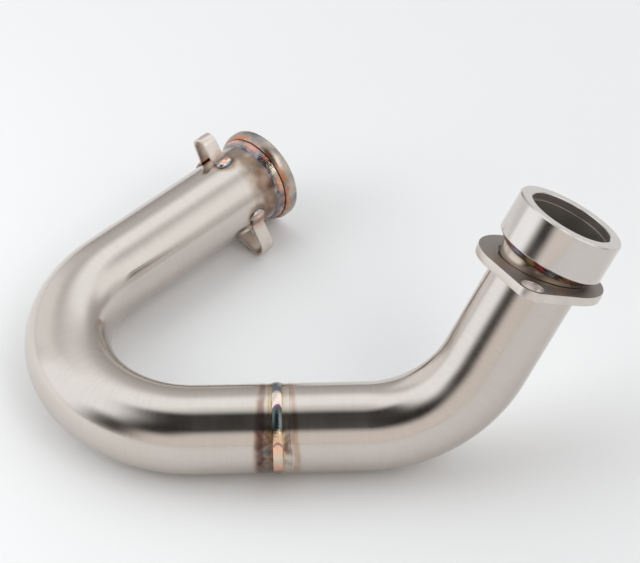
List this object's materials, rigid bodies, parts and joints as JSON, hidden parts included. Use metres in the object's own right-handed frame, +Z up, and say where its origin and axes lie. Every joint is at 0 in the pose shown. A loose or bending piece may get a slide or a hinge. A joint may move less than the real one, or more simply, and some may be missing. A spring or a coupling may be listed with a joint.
{
  "type": "motorcycle exhaust header",
  "caption": "Brushed stainless exhaust header: U-bent tube in two welded sections, port collar with a loose two-stud flange, outlet ring and spring hooks.",
  "frame": {"origin": "middle of the part's box, on the surface it lies on", "axes": "+X along the bottom straight from the U bend towards the cylinder-head end, +Y from that straight towards the outlet, +Z up with the U bend lying flat"},
  "size_m": [0.2963, 0.2366, 0.1411],
  "materials": {
    "brushed_tube": "stainless tube brushed round its length, heat tint near the welds",
    "turned_steel": "stainless, turned smooth",
    "plate_steel": "stainless plate, matte faces and bright cut edges",
    "tinted_ring": "stainless, mottled brown and blue heat tint",
    "hook_strap": "stainless strip, satin with tinted feet",
    "weld_bead": "weld metal with orange, purple and blue heat tint"
  },
  "bodies": {
    "pipe": {"rear_tube": "brushed_tube", "head_tube": "brushed_tube", "middle_weld": "weld_bead", "port_collar": "turned_steel", "port_weld": "weld_bead", "outlet_ring": "tinted_ring", "outlet_weld": "weld_bead", "upper_hook": "hook_strap", "upper_hook_top_weld": "weld_bead", "upper_hook_outer_weld": "weld_bead", "lower_hook": "hook_strap", "lower_hook_bottom_weld": "weld_bead", "lower_hook_inner_weld": "weld_bead"},
    "flange": {"head_flange": "plate_steel"}
  },
  "joints": [
    {"name": "flange_swivel", "type": "hinge", "parent": "pipe", "child": "flange", "pos_m": [0.10931, -0.06891, 0.10021], "axis": [0.4772, 0.2858, 0.831], "continuous": true}
  ]
}
